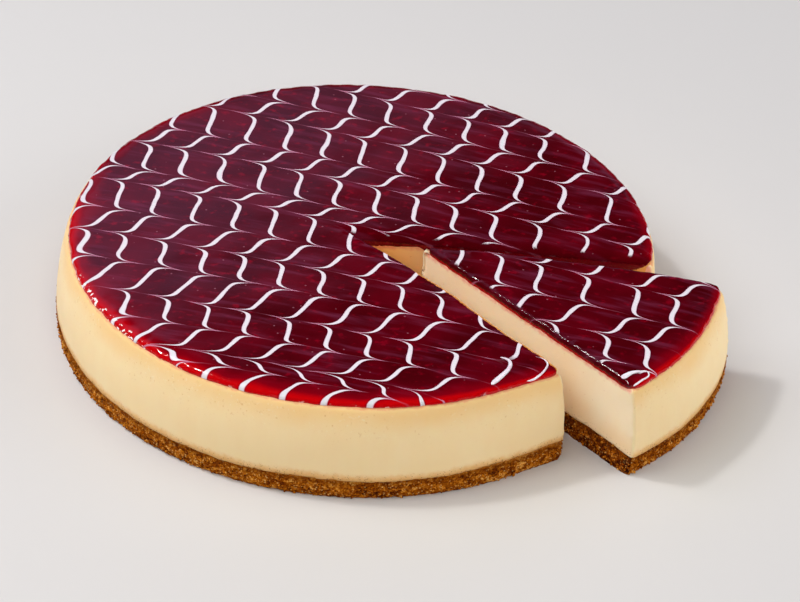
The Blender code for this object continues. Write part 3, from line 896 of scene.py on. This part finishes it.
def bead(name, plan, route, width, height, look):
    """A thick end of a piped line: an ellipse carried along a smooth route through the given points on
    the glaze, which swells from its thin start and is rounded off at its end."""
    route = np.array(route) * MM
    knots = np.concatenate([[0], np.cumsum(np.hypot(*np.diff(route, axis=0).T))])
    t = np.linspace(0, 1, 36)
    path = np.stack([np.interp(t, knots / knots[-1], route[:, i]) for i in (0, 1)], axis=1)
    for _ in range(12):
        path[1:-1] += 0.5 * ((path[:-2] + path[2:]) / 2 - path[1:-1])
    path += CAKE_AXIS
    solid = 2 * path - np.stack(eased(plan, path[:, 0], path[:, 1], 0.0), axis=1)
    tangent = np.gradient(path, axis=0)
    tangent /= np.linalg.norm(tangent, axis=1, keepdims=True)
    half = width / 2 * MM * np.sqrt(np.clip(1 - (2 * t - 1) ** 6, 0.0, 1)) * (0.4 + 0.6 * t)
    around = np.linspace(0, math.tau, 14, endpoint=False)
    across = half[:, None] * np.cos(around)
    x = path[:, :1] - tangent[:, 1:] * across
    y = path[:, 1:] + tangent[:, :1] * across
    gap = GLAZE_RADIUS - np.hypot(solid[:, 0] - plan.axis[0], solid[:, 1] - plan.axis[1])
    ground = FILLING_TOP + (GLAZE_TOP - FILLING_TOP) * rim_height(gap)[:, None]
    z = ground - 0.1 * MM + half[:, None] / (width / 2) * height * np.sin(around)
    made = skin(name, x[:, ::-1], y[:, ::-1], z[:, ::-1], look)


# ---- Camera, light and floor


def soft_box(name, direction, distance, size, power, colour, mirrored=False):
    """A rectangular studio light that hangs in this direction from the cake and is turned to it. Only
    the mirrored ones show in the glaze."""
    light = bpy.data.lights.new(name, "AREA")
    light.shape = "RECTANGLE"
    light.size, light.size_y = size
    light.energy = power
    light.color = colour
    made = bpy.data.objects.new(name, light)
    made.location = Vector(direction).normalized() * distance
    made.rotation_euler = (-Vector(direction)).to_track_quat("-Z", "Y").to_euler()
    made.visible_glossy = mirrored
    bpy.context.collection.objects.link(made)


def camera():
    """The viewpoint: its height over the table as an angle, its distance, and small turns."""
    elevation, distance, aim_height = math.radians(34.438), 1.4946, 0.0204
    yaw, pitch, roll = math.radians(-0.6935), math.radians(-0.3744), math.radians(2.3713)
    turn = (Matrix.Rotation(math.pi / 2 - elevation, 3, "X") @ Matrix.Rotation(yaw, 3, "Y")
            @ Matrix.Rotation(pitch, 3, "X") @ Matrix.Rotation(roll, 3, "Z"))
    lens = bpy.data.cameras.new("view")
    lens.lens, lens.sensor_width = 159.42, 36.0
    made = bpy.data.objects.new("view", lens)
    made.location = (CAKE_AXIS[0], CAKE_AXIS[1] - distance * math.cos(elevation),
                     aim_height + distance * math.sin(elevation))
    made.rotation_euler = turn.to_euler()
    bpy.context.collection.objects.link(made)
    bpy.context.scene.camera = made


def surround():
    """The room: dark but for a soft glow behind on the left, up to a slanting edge, which the glaze
    mirrors as a haze over its left and far part. It fades towards the horizon and the front."""
    world = bpy.data.worlds.new("surround")
    world.use_nodes = True
    nodes = Nodes(world.node_tree)
    right, far, up = nodes.split(nodes.node("TexCoord", out="Generated"))
    slant = right * 69 + (up - 0.5635) * 102 + 1.8
    haze = slant.rise(3.0, -4.0) * far.rise(0.0, 0.5) * up.rise(0.18, 0.42)
    haze = haze * (up.rise(0.505, 0.55) * 0.45 + 0.55)
    colour = nodes.blend(haze, (0.012, 0.011, 0.014, 1), (0.46, 0.34, 0.64, 1))
    nodes.give(world.node_tree.nodes["Background"].inputs["Color"], colour)
    bpy.context.scene.world = world


def studio():
    """Pale floor, the room, and soft boxes: the main one high on the left, a small spark that the glaze
    mirrors, and fills all round."""
    look = Look("pale_floor", {"Roughness": 0.55, "Base Color": paint(216, 214, 212)})
    mesh = bpy.data.meshes.new("floor")
    mesh.from_pydata([(-4, -4, 0), (4, -4, 0), (4, 4, 0), (-4, 4, 0)], [], [(0, 1, 2, 3)])
    mesh.materials.append(look.material)
    floor = bpy.data.objects.new("floor", mesh)
    bpy.context.collection.objects.link(floor)
    surround()
    bpy.context.scene.view_settings.view_transform = "Standard"
    soft_box("high_left", (-0.58, -0.05, 0.79), 1.5, (1.2, 0.9), 13, (0.97, 0.99, 1.0))
    soft_box("spark", (-0.5, 0.1, 0.85), 1.5, (0.15, 0.11), 6, (1.0, 0.99, 0.97), True)
    soft_box("front_high", (-0.1, -0.74, 0.67), 1.7, (1.4, 0.7), 9.7, (1.0, 0.97, 0.91))
    soft_box("right_wide", (0.85, -0.2, 0.45), 1.6, (1.6, 1.0), 12, (1.0, 0.98, 0.95))
    soft_box("back_right", (0.75, 0.7, 0.2), 1.9, (1.6, 0.35), 17, (0.9, 0.95, 1.0))
    soft_box("back_left", (-0.35, 0.95, 0.22), 1.9, (2.4, 0.35), 4, (0.9, 0.95, 1.0))


def main():
    """Everything in the scene: viewpoint, studio, then the layers, the loose crumbs and the ends."""
    camera()
    studio()
    crumb, cream, white = crumb_look(), cream_look(), icing_look()
    moved = (*SLICE_POINT, *SLICE_CAME_FROM)
    whole = (PIPED, PULLED_RIGHT, PULLED_LEFT)
    part = (SLICE_PIPED, SLICE_PULLED_RIGHT, SLICE_PULLED_LEFT)
    cake_glaze = glaze_look("raspberry_glaze", 0.0, (*CAKE_AXIS, 0.0, 0.0), whole, 0.25, 3.0 * MM)
    slice_glaze = glaze_look("raspberry_glaze_slice", SLICE_TURN, moved, part, 1.0, 0.0)
    for name, plan, look, loose in (("cake", CAKE, cake_glaze, 2600), ("slice", SLICE, slice_glaze, 900)):
        glaze(f"{name}_glaze_set", plan, look, f"{name}_glaze")
        filling(f"{name}_filling_baked", plan, cream, f"{name}_filling")
        side = crumb_base(f"{name}_crust", plan, crumb, f"{name}_crumb_base")
        crumbs(f"{name}_crumbs", side, loose, crumb, 7)
    for name, plan, route, width, height in ENDS:
        bead(name, plan, route, width, height, white)


main()
